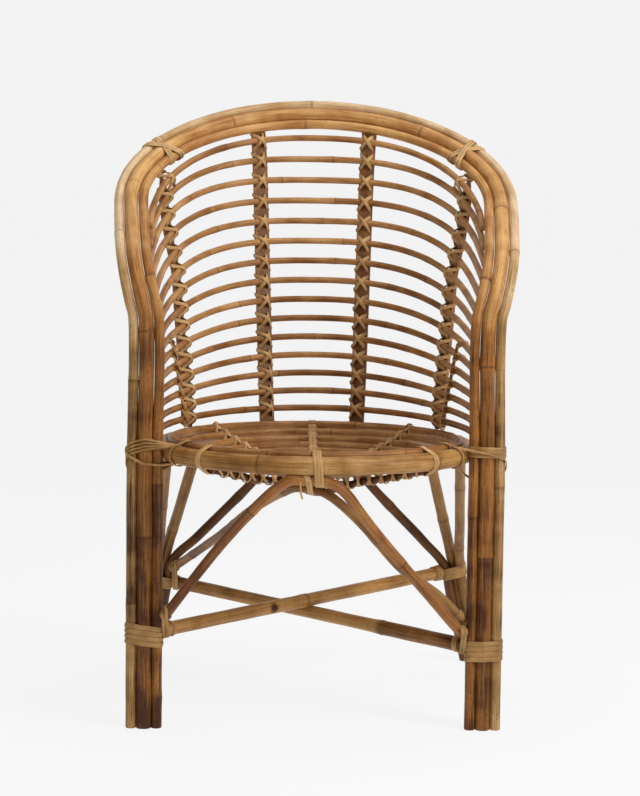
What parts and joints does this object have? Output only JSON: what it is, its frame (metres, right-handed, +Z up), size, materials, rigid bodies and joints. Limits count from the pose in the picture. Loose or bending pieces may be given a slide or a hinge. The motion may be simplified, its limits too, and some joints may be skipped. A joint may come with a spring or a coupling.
{
  "type": "bent-cane tub chair",
  "caption": "Tub chair of bent cane: hoops make legs, arms and top of the back, thin rings make a barrel round a dished ring seat, all bound with cane strip.",
  "frame": {"origin": "on the floor, at the middle of the chair's footprint", "axes": "+Z up, the sitter faces -Y, +X to the right of someone looking at the chair's front"},
  "size_m": [0.5634, 0.613, 0.8567],
  "materials": {
    "cane": "satin",
    "dark_cane": "satin",
    "red_cane": "satin",
    "split_cane": "satin",
    "cane_strip": "satin"
  },
  "bodies": {
    "root": {"back_binding_left": "cane_strip", "back_binding_right": "cane_strip", "back_ring_01": "cane", "back_ring_02": "cane", "back_ring_03": "cane", "back_ring_04": "cane", "back_ring_05": "cane", "back_ring_06": "cane", "back_ring_07": "cane", "back_ring_08": "cane", "back_ring_09": "cane", "back_ring_10": "cane", "back_ring_11": "cane", "back_ring_12": "cane", "back_ring_13": "cane", "back_ring_14": "cane", "back_ring_15": "cane", "back_splat_left": "split_cane", "back_splat_right": "split_cane", "cross_arch": "dark_cane", "front_arch": "red_cane", "hoop_inner": "cane", "hoop_middle": "cane", "hoop_outer": "cane", "lashing_front_leg_left": "cane_strip", "lashing_front_leg_right": "cane_strip", "lashing_hoop_left": "cane_strip", "lashing_hoop_right": "cane_strip", "lashing_rail_front": "cane_strip", "lashing_rail_left": "cane_strip", "lashing_rail_right": "cane_strip", "lashing_rear_leg_left": "cane_strip", "lashing_rear_leg_right": "cane_strip", "lashing_stick_left": "cane_strip", "lashing_stick_right": "cane_strip", "rear_arch": "dark_cane", "rear_leg_left_a": "cane", "rear_leg_left_c": "cane", "rear_leg_right_a": "cane", "rear_leg_right_c": "cane", "seat_rail": "cane", "seat_ring_1": "cane", "seat_ring_2": "cane", "seat_ring_3": "cane", "seat_ring_4": "cane", "seat_ring_5": "cane", "seat_ring_6": "cane", "seat_ring_7": "cane", "seat_ring_8": "cane", "seat_stick_left": "dark_cane", "seat_stick_middle": "dark_cane", "seat_stick_right": "dark_cane", "side_binding_left": "cane_strip", "side_binding_right": "cane_strip", "side_splat_left": "split_cane", "side_splat_right": "split_cane", "side_stay_left": "red_cane", "side_stay_right": "red_cane", "stretcher_lower": "cane", "stretcher_upper": "cane"}
  },
  "joints": []
}
